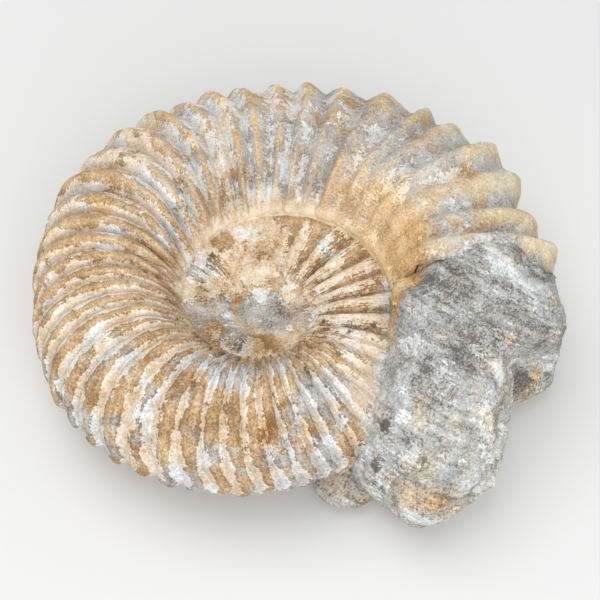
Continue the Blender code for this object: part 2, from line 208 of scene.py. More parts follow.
# Where on the coil things begin and end: by station, by turn, and by height between groove and crest
RIBS_BEGIN = (0.03, 0.16)
FLANK_INSIDE = (0.35, 0.6)
FLANK_OUTSIDE = (0.42, 0.62)
VENTER_EDGE = (0.72, 0.95)
SEAM_EDGE = (0.02, 0.07)
FAN_ENDS = (0.5, 0.75)
GREY_BEGINS = (0.06, 0.2)
STAIN_ENDS = (0.12, 0.42)
CREAM_ENDS = (0.03, 0.12)
INNER_TURNS = (-430, -390)
RUSTY_CREST = (0.45, 0.95)
PALE_CREST = (0.25, 0.75)
GROOVE_FLOOR = (0.75, 1.0)
# How strongly each of them tells
FADED_CHALK = 0.8
PATCH_CHALK = 0.45
INNER_PATCH_CHALK = 0.4
GREY_VARIATION = 0.75
GREY_RIBS = 0.1
VENTER_GREY = 1.4
NUCLEUS_GREY = 0.6
GROOVE_GREY = 0.9
GREY_GROOVES_UPTO = 0.45
NUCLEUS_SHADE = 0.07
GROOVE_SHADE = 0.1
BROWN_SHADE = 0.45
AMBER_STAIN = 0.9
RUST_LEAST = 0.7
RUST_VARIATION = 2.4
OUTER_CALM = 0.6
# Noise on the coil: grain in metres, octaves and seed, with a strength first where it is a layer
CHALK_PATCHES = (0.014, 4, 4)
GREY_PATCHES = (0.01, 4, 6)
CHALK_FLECKS = ((0.38, 0.0045, 3, 17),)
TONE_NOISE = ((0.12, 0.007, 3, 15),)
BORDER_NOISE = ((0.0022, 0.005, 3, 7),)
BORDER_WIDTH = 0.003
# Fine relief in metres: layers of noise, the chalk's edge, and the lip round the umbilicus
SHELL_RELIEF = ((0.00034, 0.006, 4, 1), (0.00026, 0.0022, 3, 2))
SMALLEST_GRAIN = 0.35
CHALK_RELIEF = 0.00008
CHALK_SURFACE = (-0.06, 0.1)
LIP_HEIGHT = 0.0011
LIP_WIDTH = 0.085
LIP_SHARPNESS = 1.5

# Steps of the surface: sections to a rib on each whorl, and rows up to the next seam and to the venter
SECTIONS_PER_RIB = (4, 6, 12)
TOP_ROWS = (40, 95)
UNDER_ROWS = (14, 40)
COVERED_STATION = 0.52
# Least gap in degrees between a section and a whorl's end, and how many stations a cover is sought at
SECTION_GAP = 0.2
SOUGHT_STATIONS = 401

# Noise: how it is moved for each seed, how fast it fades with each octave, and how much finer that is
SEED_STEP = (3.1, 7.7, 5.3)
OCTAVE_FADE = 1.0
OCTAVE_STEP = 2.0
# Broken faces: the seed of all their tilts, how far they are moved for each layer's own seed, where
# their tilts and steps are drawn from, and how strongly they tilt
NOISE_SEED = 1
FACET_SEED_STEP = 4.3
FACET_TILT_DRAW = 3.7
FACET_STEP_DRAW = 5.1
FACET_TILT = 1.6

# Stone, measured from the coil's axis and midplane: balls by centre and radii, each broken off flat
FILL_HEART = Vector((0.05, -0.022, -0.006))
FILL_BALLS = (
    ((0.0598, -0.0085, 0.0), (0.0226, 0.0265, 0.0262), (0.078, -0.0148, -0.022), (0.35, -0.92, -0.16)),
    ((0.0615, -0.0115, -0.013), (0.0215, 0.017, 0.017), (0.076, -0.016, -0.006), (0.5, -0.5, 0.7)),
    ((0.049, -0.0205, 0.0015), (0.0175, 0.032, 0.027), (0.048, -0.02, 0.0262), (0.24, -0.22, 0.93)),
    ((0.045, -0.037, -0.002), (0.0195, 0.0225, 0.024), (0.045, -0.04, 0.0205), (0.12, -0.35, 0.9)),
    ((0.0412, -0.0405, -0.0085), (0.0182, 0.0228, 0.0155), (0.0412, -0.0612, -0.02), (0.1, -0.8, -0.6)),
)
FILL_TOP = 0.024
BALL_BLEND = 0.0012
# Limits for a flat face that a way from the heart hardly meets: least facing, and most blends
LEAST_FACING = 1e-3
MOST_BLENDS = 300
LEDGE_HEART = Vector((0.025, -0.043, -0.0165))
LEDGE_BALLS = (
    ((0.025, -0.043, -0.0165), (0.0145, 0.0115, 0.007), (0.025, -0.043, -0.011), (0.1, -0.2, 0.95)),
)
# How often each stone's sphere is divided, and both stones by the names of their pieces
FILL_DETAIL = 7
LEDGE_DETAIL = 5
STONES = {
    "stone_fill": (FILL_HEART, FILL_BALLS, FILL_DETAIL),
    "stone_ledge": (LEDGE_HEART, LEDGE_BALLS, LEDGE_DETAIL),
}
STONE_ROUGHNESS = ((0.016, 0.0036), (0.007, 0.0016))
# Fine relief in metres: layers of noise, and broken faces by height, grain and seed
STONE_RELIEF = ((0.00045, 0.004, 4, 8), (0.00024, 0.0014, 3, 9))
STONE_FACETS = ((0.0007, 0.01, 1), (0.00035, 0.0045, 2))

# The boulder is paler than the stone in the coil's end, with the change between these places in Y
STONE_TONE_CHANGE = (-0.034, -0.014)
# Where the stone turns rusty on its way down, in Z
STONE_LOW = (-0.004, -0.018)
# Level and noise of the stone's chalk, grey, rust and tone, and what its marks and places add
STONE_CHALK = -0.16
STONE_CHALK_NOISE = ((0.6, 0.013, 4, 10), (0.3, 0.0045, 3, 11))
TONED_CHALK = 0.9
STONE_GREY = -0.02
STONE_GREY_NOISE = ((0.4, 0.015, 3, 13),)
END_GREY = 0.34
LOW_RUST = 0.25
STONE_RUST_NOISE = ((0.3, 0.008, 3, 12),)
SHELLY_STAIN = 0.8
STONE_TONE = -0.04
STONE_TONE_NOISE = ((0.25, 0.009, 3, 14), (0.1, 0.004, 3, 16))
END_SHADE = 0.12
MARK_TONE = 0.22
# Widths across and along the faint streaks in the stone, which way they run in plan, and how steeply
# they dip on its sides
STONE_STREAK = (0.01, 0.14)
STONE_STREAK_WAY = (0.8, -0.6)
STONE_STREAK_DIP = 0.9

# Marks on the stone: centre from the coil's axis and width in mm, and strength
MM = 0.001
CHALK_MARKS = (
    (36.3, -27.4, 21.1, 3, 0.7), (34.1, -44.5, 15.4, 2.6, 0.9), (37.4, -52.5, 11.8, 1.6, 0.5),
    (35, -39, 19, 2, 0.5), (44, -48, 16, 1.8, 0.5), (47.5, -54, 9.5, 2.2, 0.4),
    (57.8, -0.4, 26.9, 4.5, 0.25), (66, -6, 25.5, 4, 0.1), (48.7, -46.1, 17.8, 3, 0.2),
)
# Paler and darker places
TONE_PLACES = (
    (54.9, -32.3, 21.1, 5, -0.26), (48.6, -29.1, 23.4, 4, -0.16), (48.2, -17.3, 26.3, 4.5, -0.2),
    (38.4, -29.2, 24, 2.6, 0.3), (34.2, -25.9, 16.4, 4, 0.34), (41.7, -33.9, 24.3, 2, -0.34),
    (40.3, -36.6, 23.2, 1.5, -0.3), (48.6, -47.3, 17.5, 5, 0.16), (44.1, -62.7, 1.1, 4.5, -0.22),
    (46.5, -60, 4.1, 3.5, -0.14), (35.2, -50, 12.6, 2.4, -0.25), (67.6, -12, 22.6, 3, -0.12),
    # The first place on the next line is painted shade under the stone's overhang at the right
    (76, -19, -7, 5, -0.1), (43.5, -37.3, 22.5, 1.5, 0.2),
)
DARK_MARKS = (
    (30.5, -45.5, 12.2, 2.2, 1.2), (28.4, -51.3, 1.3, 2.2, 0.8), (37, -38, 20.5, 1.6, 0.5),
    # Painted shade on the underside of the stone's overhang at the right
    (73, -24, -6, 7, 0.5),
)
RUST_MARKS = (
    (63, -27.1, 22.2, 1.3, 0.8), (75.9, -18.4, -5.5, 1.5, 0.9), (76.2, -19.7, -9, 1.7, 0.9),
    (44.1, -62.7, 1.1, 4, 0.45), (79.1, -11.2, 18.6, 2.2, 0.9), (36.6, -60.1, 1.9, 4.5, 0.45),
    (48, -60, -4, 6, 0.35), (74, 0, 24, 5, 0.25), (62, 1, 26.5, 4, 0.15),
)
SHELL_MARKS = (
    (37.5, -4, 21, 4.6, 1.3), (36.4, -8, 19.5, 4.6, 1.3), (35.4, -12.5, 18.6, 4.2, 1.3),
    (34.4, -16, 16.5, 3.7, 1.2), (33.4, -19.5, 14.2, 3.3, 1.1), (33.2, -23, 12.8, 2.5, 0.8),
)
# Creases and cracks in the stone: three points, width and depth, in mm, and the steps along each
CREASE_STEPS = 40
# Each crease is sunk, and painted shade is laid along it
CREASES = (
    ((58.5, -22, 23.5), (60.8, -29, 22), (64.5, -36, 8), 2.4, 2),
    ((57.3, -35.6, 19), (61, -38.5, 16.5), (61.8, -40.8, 9), 0.6, 1.2),
    ((53.6, -18.4, 24.3), (54.9, -17.4, 24.2), (56.2, -16.8, 24), 0.6, 1.2),
    ((48.6, -16.2, 26.4), (50.2, -15.8, 26.4), (51.4, -16.4, 26.2), 0.6, 0.9),
)

# The camera stands where the photo's did: elevation and roll in degrees, and its distance and the
# place of the coil's axis in the picture in pixels of a 600 pixel frame
PIXEL = 0.282e-3
PICTURE = 600
CAMERA_ELEVATION = 56.3
CAMERA_ROLL = -1.8
CAMERA_DISTANCE = 1172.0
AXIS_PIXEL = (262.0, 304.0)
AIM_STEPS = 20
SENSOR_WIDTH = 36
# The floor's half side in metres, and the light: round lamps by place, width, power and colour
FLOOR_HALF = 2.0
FLOOR_COLOUR = (0.61, 0.615, 0.615, 1)
FLOOR_ROUGHNESS = 0.7
SKY_COLOUR = (1.0, 1.0, 1.0, 1)
SKY_STRENGTH = 0.74
LAMPS = {
    "key": ((-0.22, 0.12, 0.88), 0.8, 4.1, (1.0, 0.99, 0.97)),
    "fill": ((0.1, -0.7, 0.45), 0.8, 5.0, (1.0, 1.0, 1.0)),
}


def smooth_between(stations, value):
    """The value between (place, value) stations, level at each of them."""
    places, values = np.array(stations, float).T
    value = np.clip(value, places[0], places[-1])
    at = np.clip(np.searchsorted(places, value, side="right") - 1, 0, len(places) - 2)
    share = (value - places[at]) / (places[at + 1] - places[at])
    share = share * share * (3 - 2 * share)
    return values[at] + (values[at + 1] - values[at]) * share


def step_up(value, low, high):
    """0 below low, 1 above high, and smooth between them."""
    share = np.clip((value - low) / (high - low), 0, 1)
    return share * share * (3 - 2 * share)


def fractal(points, grain, octaves, seed):
    """Noise round 0 whose widest bumps are a grain across."""
    moved = (np.asarray(points) / grain + np.array(SEED_STEP) * seed).tolist()
    return np.array([noise.fractal(point, OCTAVE_FADE, OCTAVE_STEP, octaves) for point in moved])


def layers(points, noises):
    """The sum of several noises, each by its strength, grain in metres, octaves and seed."""
    return sum(strength * fractal(points, *shape) for strength, *shape in noises)


def venter_radius(turn):
    return VENTER_RADIUS * VENTER_GROWTH ** (turn / 360) * smooth_between(VENTER_TRIM, turn)


def seam_radius(turn):
    return SEAM_RADIUS * SEAM_GROWTH ** (turn / 360)


def half_thickness(turn):
    return smooth_between(THICKNESS, turn) * venter_radius(turn)


def seam_height(turn):
    """Height above the midplane where a whorl meets the flank of the one inside it."""
    inner = venter_radius(turn - 360)
    out = (seam_radius(turn) - FLANK_TOP_RADIUS * inner) / ((1 - FLANK_TOP_RADIUS) * inner)
    out = np.clip(out, 0, 1)
    return half_thickness(turn - 360) * (1 - out**FLANK_SQUARENESS) ** (1 / FLANK_SQUARENESS)


def section_point(turn, station, under):
    """Radius and height above the midplane, before the ribs, with the heights of the underside positive."""
    radius = venter_radius(turn)
    flank = FLANK_TOP_RADIUS * radius
    top = half_thickness(turn)
    worn = step_up(turn, *WORN_FROM) * under
    top = top + (WORN_DEPTH - top) * worn
    seam = seam_radius(turn)
    foot = seam_height(turn)
    inward = np.radians(90 * np.clip(station / FLANK_TOP, 0, 1))
    outward = np.radians(90 * np.clip((station - FLANK_TOP) / (1 - FLANK_TOP), 0, 1))
    wall = 2 / smooth_between(WALL_SQUARENESS, turn)
    flank_power = 2 / FLANK_SQUARENESS
    on_wall = station < FLANK_TOP
    across = np.where(
        on_wall,
        flank - (flank - seam) * np.clip(np.cos(inward), 0, 1) ** wall,
        flank + (radius - flank) * np.sin(outward) ** flank_power,
    )
    up = np.where(
        on_wall,
        foot + (top - foot) * np.sin(inward) ** wall,
        top * np.clip(np.cos(outward), 0, 1) ** flank_power,
    )
    return across, up


def rib_count(turn):
    """Ribs from turn 0 to here, from the pitch, which swings slowly along the coil."""
    places = np.arange(*COUNTED_TURNS, COUNT_STEP)
    swing = np.cos(2 * np.pi * (places - RIB_PITCH_WIDEST) / RIB_PITCH_PERIOD)
    pitch = RIB_PITCH + RIB_PITCH_SWING * swing
    count = np.concatenate(([0.0], np.cumsum((1 / pitch[1:] + 1 / pitch[:-1]) / 2)))
    count -= np.interp(0.0, places, count)
    sway = RIB_SWAY * np.cos(2 * np.pi * (turn - RIB_SWAY_MOST) / RIB_SWAY_PERIOD)
    return np.interp(turn, places, count) + FIRST_GROOVE - sway + smooth_between(RIB_SETBACK, turn)


def rib_turn(count):
    """The turn at which that many ribs have been counted."""
    places = np.arange(*COUNTED_TURNS, TURN_STEP)
    return np.interp(count, rib_count(places), places)


def rib_sweep(station):
    """Degrees by which a rib lies back from its place on the top of the flank."""
    out = np.clip((station - FLANK_TOP) / (1 - FLANK_TOP), 0, 1)
    return RIB_SWEEP[0] * out + RIB_SWEEP[1] * out**2


def rib_profile(phase, roundness):
    """0 in a groove and 1 on a crest, some of them fuller than others."""
    fullness = 1 + RIB_UNEVEN * np.sin(RIB_UNEVEN_STEP * np.floor(phase))
    leaning = phase + RIB_LEAN * np.sin(np.pi * phase) ** 2
    return fullness * (0.5 - 0.5 * np.cos(2 * np.pi * leaning)) ** roundness


def rib_shape(turn, station, phase, roundness=1):
    """0 in a groove and 1 on a crest, with the wide ribs of the inner whorls dividing on their way out."""
    divided = smooth_between(DIVIDED_TURNS, turn)
    divided = divided + (1 - divided) * smooth_between(DIVIDED_STATIONS, station)
    wide = rib_profile(phase / 2, roundness)
    return wide + (rib_profile(phase, roundness) - wide) * divided


def faded_share(turn, station):
    return smooth_between(FADED_TURNS, turn) * smooth_between(FADED_STATIONS, station)


def filled_share(turn, station):
    return smooth_between(FILLED_TURNS, turn) * smooth_between(FILLED_STATIONS, station)


def rib_height(turn, station, phase):
    """Height of the surface above the smooth whorl: crests up, grooves down."""
    rise = step_up(station, 0, RIB_FOOT)
    crest = rib_shape(turn, station, phase, smooth_between(RIB_ROUNDNESS, turn)) - 0.5
    crest = crest + (FILLED_LEVEL - crest) * filled_share(turn, station)
    strength = smooth_between(RIB_STRENGTH, turn) * (1 - faded_share(turn, station))
    return RIB_HEIGHT * venter_radius(turn) * strength * rise * crest


def surface_points(turn, station, under):
    """Points of the ribbed surface. The turns are those of the ribs' feet, and under is 1 below."""
    place = turn - rib_sweep(station)
    across, up = section_point(place, station, under)
    before = section_point(place, np.maximum(station - SLOPE_STEP, 0.0), under)
    after = section_point(place, np.minimum(station + SLOPE_STEP, 1.0), under)
    along = np.stack((after[0] - before[0], after[1] - before[1]))
    along = along / np.linalg.norm(along, axis=0)
    height = rib_height(place, station, rib_count(turn))
    height = np.where(station == 0, SEAM_LIP, height)
    along = np.where(station == 1, np.array(((0.0,), (-1.0,))), along)
    across = across - along[1] * height
    up = up + along[0] * height
    angle = -np.radians(place)
    side = np.where(under > 0, -1, 1)
    shift = MIDDLE_SHIFT * (1 - step_up(across, *MIDDLE_SHIFT_RADII))
    return np.stack((across * np.cos(angle), across * np.sin(angle) - shift, up * side), axis=1)


class Strip:
    """The places of the coil's surface and the triangles between them."""

    def __init__(self):
        self.places = []
        self.faces = []

    def row(self, turns, stations, under, first=None):
        """A row along the coil, whose first place may be one that is already there."""
        row = [] if first is None else [first]
        for turn, station in list(zip(turns, stations))[len(row):]:
            row.append(len(self.places))
            self.places.append((turn, station, under))
        return row

    def zip_rows(self, row_a, keys_a, row_b, keys_b):
        """Fill the band between two rows with triangles, matched by their keys."""
        a = 0
        b = 0
        while a < len(row_a) - 1 or b < len(row_b) - 1:
            take_a = b == len(row_b) - 1 or (a < len(row_a) - 1 and keys_a[a + 1] <= keys_b[b + 1])
            corners = (row_a[a], row_b[b], row_a[a + 1] if take_a else row_b[b + 1])
            if take_a:
                a += 1
            else:
                b += 1
            if len(set(corners)) == 3:
                self.faces.append(corners)


def section_turns(whorl):
    """Turns of the sections of one whorl, a whole number of them to a rib, with both its ends."""
    last = LAST_TURN - 360 * (WHORLS - 1 - whorl)
    first = last - 360
    step = 1 / SECTIONS_PER_RIB[whorl]
    counts = np.arange(math.ceil(rib_count(first) / step), rib_count(last) / step) * step
    turns = [turn for turn in rib_turn(counts) if first + SECTION_GAP < turn < last - SECTION_GAP]
    return np.array([first] + turns + [last])


def covered_stations(turns, under):
    """The stations where the next whorl's seam runs over these sections."""
    fine = np.linspace(0, 1, SOUGHT_STATIONS)
    return np.array([
        np.interp(seam_radius(turn + 360), section_point(turn, fine, under)[0], fine) for turn in turns
    ])


def add_side(strip, under, venter, row_counts):
    """One side of the coil from the middle out. Gives the rows of the last whorl."""
    seam_rows, outer_rows = row_counts
    last = WHORLS - 1
    turns = [section_turns(whorl) for whorl in range(WHORLS)]
    rows = []
    for whorl in range(WHORLS):
        stations = np.linspace(0, 1, seam_rows + 1)
        if whorl < last:
            covers = covered_stations(turns[whorl], under)
            stations = stations[:-1]
        else:
            covers = np.full(len(turns[last]), COVERED_STATION)
        firsts = [row[-1] for row in rows[whorl - 1]] if whorl else [None] * seam_rows
        made = []
        for number, station in enumerate(stations):
            first = firsts[number] if number < seam_rows else made[0][-1]
            made.append(strip.row(turns[whorl], station * covers, under, first))
        rows.append(made)
    for station in np.linspace(COVERED_STATION, 1, outer_rows - seam_rows + 1)[1:-1]:
        rows[last].append(strip.row(turns[last], np.full(len(turns[last]), station), under))
    rows[last].append(venter)
    for whorl in range(WHORLS):
        for low, high in zip(rows[whorl], rows[whorl][1:]):
            strip.zip_rows(low, turns[whorl], high, turns[whorl])
        if whorl < last:
            strip.zip_rows(rows[whorl][-1], turns[whorl], rows[whorl + 1][0], turns[whorl + 1] - 360)
    first_section = [row[0] for row in rows[0]]
    loop = rows[0][0] + first_section[:0:-1]
    middle = len(strip.places)
    strip.places.append((turns[0][0], -1.0, under))
    for here, there in zip(loop, loop[1:] + loop[:1]):
        strip.faces.append((middle, here, there))
    return rows[last], middle, loop


def coil_surface():
    """The whole coil as one closed surface: places, points and triangles."""
    strip = Strip()
    turns = section_turns(WHORLS - 1)
    venter = strip.row(turns, np.ones(len(turns)), 0)
    top, top_middle, top_loop = add_side(strip, 0, venter, TOP_ROWS)
    below, under_middle, under_loop = add_side(strip, 1, venter, UNDER_ROWS)
    end = [row[-1] for row in top] + [row[-1] for row in below[-2::-1]]
    start = [row[0] for row in top[TOP_ROWS[0]:]] + [row[0] for row in below[-2 : UNDER_ROWS[0] - 1 : -1]]
    strip.zip_rows(end, np.linspace(0, 1, len(end)), start, np.linspace(0, 1, len(start)))
    places = np.array(strip.places)
    points = surface_points(places[:, 0], np.maximum(places[:, 1], 0), places[:, 2])
    points[top_middle] = points[top_loop].mean(axis=0) + (0, 0, NUCLEUS_RISE)
    points[under_middle] = points[under_loop].mean(axis=0) - (0, 0, NUCLEUS_RISE)
    return places, points, strip.faces


def new_mesh(name, points, faces):
    """A mesh with its faces turned outward."""
    mesh = bpy.data.meshes.new(name)
    mesh.from_pydata(points.tolist(), [], faces)
    bm = bmesh.new()
    bm.from_mesh(mesh)
    bmesh.ops.recalc_face_normals(bm, faces=bm.faces)
    bm.to_mesh(mesh)
    bm.free()
    mesh.shade_smooth()
    return mesh


def normals_of(mesh):
    normals = np.empty(len(mesh.vertices) * 3)
    mesh.vertices.foreach_get("normal", normals)
    return normals.reshape(-1, 3)


def place_points(mesh, points, relief):
    """Set the points, from the coil's axis and midplane, with their relief and none below the floor."""
    world = points + normals_of(mesh) * relief[:, None] + np.array(COIL_AXIS)
    world[:, 2] = np.maximum(world[:, 2], 0)
    mesh.vertices.foreach_set("co", world.ravel())
    mesh.update()


def keep_fields(mesh, fields):
    """Keep the numbers that the material reads, one for each point."""
    for name, values in fields.items():
        attribute = mesh.attributes.new(name, "FLOAT", "POINT")
        attribute.data.foreach_set("value", np.asarray(values, np.float32))


def ball_exits(heart, ways, centre, radii):
    """How far it is from the heart, inside the ball, to the ball's surface."""
    start = (np.array(heart) - centre) / radii
    step = ways / np.array(radii)
    a = (step * step).sum(axis=1)
    b = step @ start
    c = start @ start - 1
    return (-b + np.sqrt(b * b - a * c)) / a


def stone_reaches(heart, ways, balls):
    """Distances from the heart to the stone's surface, where the broken balls run together."""
    total = 0.0
    for centre, radii, point, normal in balls:
        normal = np.array(Vector(normal).normalized())
        facing = ways @ normal
        near = np.exp(-ball_exits(heart, ways, centre, radii) / BALL_BLEND)
        gap = normal @ (np.array(point) - np.array(heart))
        far = gap / np.maximum(facing, LEAST_FACING) / BALL_BLEND
        near = near + np.where(facing > 0, np.exp(-np.minimum(far, MOST_BLENDS)), 0)
        total = total + 1 / near
    return BALL_BLEND * np.log(total)


def stone_depth(points, heart, balls):
    """How far the points stand outside the stone, along the way from its heart."""
    away = points - np.array(heart)
    distance = np.linalg.norm(away, axis=1)
    return distance - stone_reaches(heart, away / distance[:, None], balls)


def stone_bumps(points):
    return sum(
        height * np.array([noise.noise(point) for point in (points / grain).tolist()])
        for grain, height in STONE_ROUGHNESS
    )


def facets(points, grain, seed):
    """Steps and tilts of broken faces, each a grain or so across: a height from about -1 to 1."""
    # Blender starts noise_vector from the clock unless a seed is set, and each run would differ
    noise.seed_set(NOISE_SEED)
    heights = np.empty(len(points))
    for number, point in enumerate((points / grain + seed * FACET_SEED_STEP).tolist()):
        _, cells = noise.voronoi(point)
        cell = cells[0]
        tilt = noise.noise_vector(cell * FACET_TILT_DRAW).dot(Vector(point) - cell) * FACET_TILT
        heights[number] = tilt + noise.noise(cell * FACET_STEP_DRAW)
    return heights


def unit_sphere(detail):
    bm = bmesh.new()
    bmesh.ops.create_icosphere(bm, subdivisions=detail, radius=1.0)
    ways = np.array([vert.co.normalized() for vert in bm.verts])
    faces = [[vert.index for vert in face.verts] for face in bm.faces]
    bm.free()
    return ways, faces


def near_marks(points, marks):
    """The strength of the marks at each point."""
    total = np.zeros(len(points))
    for *centre, width, strength in marks:
        away = np.linalg.norm(points - np.array(centre) * MM, axis=1)
        total += strength * np.exp(-((away / (width * MM)) ** 2))
    return total


def near_creases(points):
    """Depth of the creases at each point, and how much painted shade lies in them."""
    depths = np.zeros(len(points))
    crease_shades = np.zeros(len(points))
    for start, middle, end, width, depth in CREASES:
        share = np.linspace(0, 1, CREASE_STEPS)[:, None]
        line = (1 - share) ** 2 * np.array(start) + 2 * share * (1 - share) * np.array(middle)
        line = (line + share**2 * np.array(end)) * MM
        away = np.min([np.linalg.norm(points - spot, axis=1) for spot in line], axis=0)
        near = np.exp(-((away / (width * MM)) ** 2))
        depths = np.maximum(depths, depth * MM * near)
        crease_shades = np.maximum(crease_shades, near / max(width, 1.0))
    return depths, crease_shades


def worn_middle(points):
    """The points with the middle of both sides worn down to a low dome."""
    reach = np.hypot(points[:, 0], points[:, 1] + MIDDLE_SHIFT)
    rings, gap = np.linspace(0, WORN_MIDDLE[-1][0], WORN_RINGS, retstep=True)
    dome = DOME_RISE * np.exp(-((reach / DOME_RADIUS) ** 2))
    points = points.copy()
    for side in (-1, 1):
        here = points[:, 2] * side > 0
        heights = [np.abs(points[here & (np.abs(reach - ring) < gap), 2]).mean() for ring in rings]
        worn = np.interp(reach, rings, heights) + dome
        points[:, 2] += (worn * side - points[:, 2]) * smooth_between(WORN_MIDDLE, reach) * here
    return points


def filled_seams(mesh, seam):
    """The mesh's points with the corner along the seam filled with rock. Seam lists its points."""
    bm = bmesh.new()
    bm.from_mesh(mesh)
    bm.verts.ensure_lookup_table()
    near = {bm.verts[number] for number in seam}
    for _ in range(SEAM_FILL_ROWS):
        near |= {edge.other_vert(vert) for vert in near for edge in vert.link_edges}
    near = sorted(near, key=lambda vert: vert.index)
    for _ in range(SEAM_FILL_PASSES):
        bmesh.ops.smooth_vert(
            bm, verts=near, factor=SEAM_FILL_SHARE, use_axis_x=True, use_axis_y=True, use_axis_z=True
        )
    points = np.array([vert.co for vert in bm.verts])
    bm.to_mesh(mesh)
    bm.free()
    return points


class Coil:
    """The points of the coil, and what the weathering there depends on."""

    def __init__(self, places, points):
        turn, station, _ = places.T
        self.points = points
        self.station = np.maximum(station, 0)
        self.count = rib_count(turn)
        self.turn = turn - rib_sweep(self.station)
        self.crest = rib_shape(self.turn, self.station, self.count)
        unfaded = 1 - FADED_CHALK * faded_share(self.turn, self.station)
        self.ribbed = step_up(self.station, *RIBS_BEGIN) * self.level(CHALK_RIBS) * unfaded
        self.inner_turns = 1 - step_up(self.turn, *INNER_TURNS)
        self.inside = 1 - step_up(self.station, *FLANK_INSIDE)
        self.outer = step_up(self.station, *FLANK_OUTSIDE) * self.level(TIP_TURNS)
        self.low_edge = self.level(VENTER_CHALK) * step_up(self.station, *VENTER_EDGE)
        reach = np.hypot(points[:, 0], points[:, 1] + MIDDLE_SHIFT)
        self.nucleus = 1 - step_up(reach, *NUCLEUS_EDGE)
        self.greys = fractal(points, *GREY_PATCHES)
        self.brown = self.marked(BROWN_MARKS)

    def level(self, by_turn):
        return smooth_between(by_turn, self.turn)

    def marked(self, marks):
        """The strength of the marks at each place."""
        total = np.zeros(len(self.turn))
        for turn, station, wide, high, strength in marks:
            away = ((self.turn - turn) / wide) ** 2 + ((self.station - station) / high) ** 2
            total += strength * np.exp(-away)
        return total

    def chalk(self):
        fan = self.level(FAN_TURNS) * (1 - step_up(self.station, *FAN_ENDS))
        banded = (1 - self.crest) * (1 - fan) + self.crest * fan
        chalk = (banded - 0.5) * self.ribbed + self.level(CHALK_LEVEL)
        chalk += self.level(ONE_SIDED) * np.sin(2 * np.pi * self.count) * (1 - self.inside)
        chalk += self.low_edge + self.level(SEAM_CHALK) * (1 - step_up(self.station, *SEAM_EDGE))
        chalk += (PATCH_CHALK + INNER_PATCH_CHALK * self.inner_turns) * fractal(self.points, *CHALK_PATCHES)
        return chalk + layers(self.points, CHALK_FLECKS) + self.marked(CHALK_SPOTS)

    def grey(self):
        grey = self.level(GREY_LEVEL) + GREY_VARIATION * self.greys
        grey += GREY_RIBS * (0.5 - self.crest) * self.ribbed
        grey += self.level(GREY_INSIDE) * self.inside * step_up(self.station, *GREY_BEGINS)
        grey += self.marked(BLUE_MARKS) + VENTER_GREY * self.low_edge + NUCLEUS_GREY * self.nucleus
        return grey + GROOVE_GREY * self.outer * (GREY_GROOVES_UPTO - self.crest)

    def tone(self):
        tone = self.level(TONE_LEVEL) + self.marked(TONE_MARKS) - NUCLEUS_SHADE * self.nucleus
        tone -= GROOVE_SHADE * self.outer * (1 - self.crest) + BROWN_SHADE * self.brown
        return tone + (1 + self.inner_turns) * layers(self.points, TONE_NOISE)

    def stain(self):
        rusty = self.level(CREST_RUST) * step_up(self.crest, *RUSTY_CREST)
        stain = self.level(STAIN_TURNS) * (1 - step_up(self.station, *STAIN_ENDS))
        stain += AMBER_STAIN * self.marked(AMBER_MARKS) + self.brown
        return stain + rusty * (RUST_LEAST + RUST_VARIATION * self.greys)

    def matrix(self):
        """1 where the surface is grey stone, 0 where it is shell."""
        outside = np.minimum(*[stone_depth(self.points, heart, balls) for heart, balls, _ in STONES.values()])
        outside += layers(self.points, BORDER_NOISE) - stone_bumps(self.points)
        return 1 - step_up(outside, 0.0, BORDER_WIDTH)

    def relief(self, chalk):
        """How high the fine surface stands, finer and lower on the small whorls."""
        size = np.clip(venter_radius(self.turn) / VENTER_RADIUS, SMALLEST_GRAIN, 1)
        fine = layers(self.points, SHELL_RELIEF) + CHALK_RELIEF * step_up(chalk, *CHALK_SURFACE)
        rim = np.sin(np.pi * np.clip(self.station / LIP_WIDTH, 0, 1)) ** LIP_SHARPNESS
        return fine * size + LIP_HEIGHT * rim * self.level(LIP_LEVEL)

    def fields(self, chalk):
        return {
            "chalk": chalk, "grey": self.grey(), "stain": self.stain(),
            "pink": filled_share(self.turn, self.station),
            "cream": (1 - step_up(self.station, *CREAM_ENDS)) * self.level(LIP_LEVEL),
            "dark": self.marked(PIT_MARKS), "matrix": self.matrix(),
            "rib": self.count, "station": self.station,
            # Painted shade in the groove floors
            "painted_shade": self.level(PAINTED_SHADE_LEVEL) * step_up(1 - self.crest, *GROOVE_FLOOR) * self.ribbed,
            "calm": self.level(CALM_LEVEL) + OUTER_CALM * self.outer, "tone": self.tone(),
            "tip": self.outer * step_up(self.crest, *PALE_CREST), "streak": self.level(STREAK_SHARE),
        }


def make_shell():
    places, points, faces = coil_surface()
    mesh = new_mesh("shell", worn_middle(points), faces)
    points = filled_seams(mesh, np.flatnonzero(places[:, 1] == 0).tolist())
    coil = Coil(places, points)
    chalk = coil.chalk()
    place_points(mesh, points, coil.relief(chalk))
    keep_fields(mesh, coil.fields(chalk))
    return mesh


